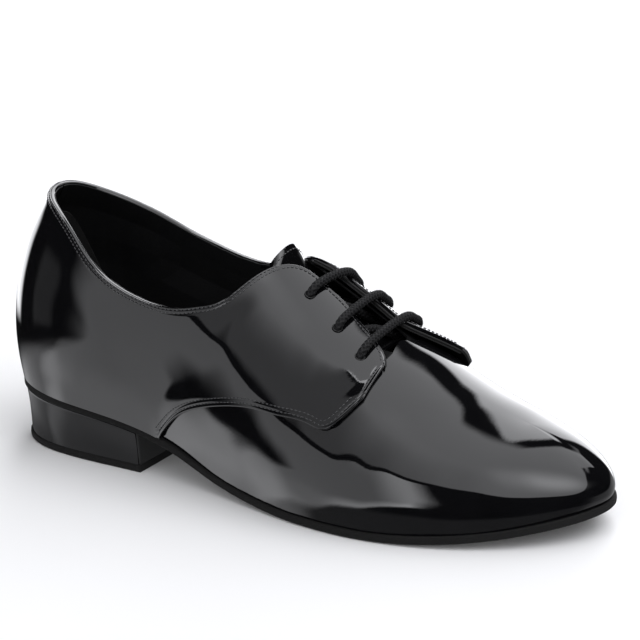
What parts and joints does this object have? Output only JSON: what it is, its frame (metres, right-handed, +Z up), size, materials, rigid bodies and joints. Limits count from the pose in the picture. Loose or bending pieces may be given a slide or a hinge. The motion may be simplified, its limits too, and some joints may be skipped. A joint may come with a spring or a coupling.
{
  "type": "dance shoe",
  "caption": "Low-heeled black patent derby dance shoe for the right foot, laced throat, suede sole, covered block heel and a forefoot that flexes.",
  "frame": {"origin": "on the ground under the middle of the shoe", "axes": "+X from heel to toe, +Y to the inner side of the right foot, +Z up"},
  "size_m": [0.2806, 0.1022, 0.1138],
  "materials": {
    "black_patent": "mirror-gloss black patent leather",
    "black_lining": "matt black leather lining",
    "black_suede": "black brushed suede",
    "fibre_board": "brown cellulose fibre board",
    "cork": "cork granule filler",
    "heel_plastic": "moulded black plastic",
    "steel": "plain spring steel",
    "eyelet_metal": "black enamelled brass",
    "black_cord": "round braided black cotton cord",
    "tip_plastic": "clear-coated black lace tip"
  },
  "bodies": {
    "rear_shoe": {"quarter_outer": "black_patent", "quarter_inner": "black_patent", "vamp_wings": "black_patent", "vamp_crease": "black_patent", "topline_bead": "black_patent", "heel_cover": "black_patent", "heel_breast_cover": "black_patent", "quarter_lining_outer": "black_lining", "quarter_lining_inner": "black_lining", "vamp_lining_crease": "black_lining", "sock_lining_rear": "black_lining", "outsole_rear": "black_suede", "heel_top_piece": "black_suede", "heel_grip": "black_suede", "insole_board_rear": "fibre_board", "heel_counter": "fibre_board", "bottom_filler_rear": "cork", "heel_block": "heel_plastic", "steel_shank": "steel", "heel_nail_1": "steel", "heel_nail_2": "steel", "heel_nail_3": "steel", "heel_nail_4": "steel", "heel_nail_5": "steel", "eyelet_outer_1": "eyelet_metal", "eyelet_outer_2": "eyelet_metal", "eyelet_outer_3": "eyelet_metal", "eyelet_inner_1": "eyelet_metal", "eyelet_inner_2": "eyelet_metal", "eyelet_inner_3": "eyelet_metal", "lace": "black_cord", "aglet_outer": "tip_plastic", "aglet_inner": "tip_plastic"},
    "forefoot": {"outsole_front": "black_suede", "insole_board_front": "fibre_board", "sock_lining_front": "black_lining", "bottom_filler_front": "cork", "vamp_front": "black_patent", "toe_puff": "fibre_board", "vamp_lining_front": "black_lining"},
    "tongue_flap": {"tongue": "black_patent", "tongue_lining": "black_lining"}
  },
  "joints": [
    {"name": "forefoot_flex", "type": "hinge", "parent": "rear_shoe", "child": "forefoot", "pos_m": [0.06673, 0, 0.0085], "axis": [0, -1, 0], "range_deg": [0, 30], "stiffness_Nm_per_rad": 0.6, "deforming": ["vamp_crease", "vamp_lining_crease"]},
    {"name": "tongue_dip", "type": "hinge", "parent": "rear_shoe", "child": "tongue_flap", "pos_m": [0.04333, 0.00532, 0.0655], "axis": [0, 1, 0], "range_deg": [-10, 0]}
  ]
}
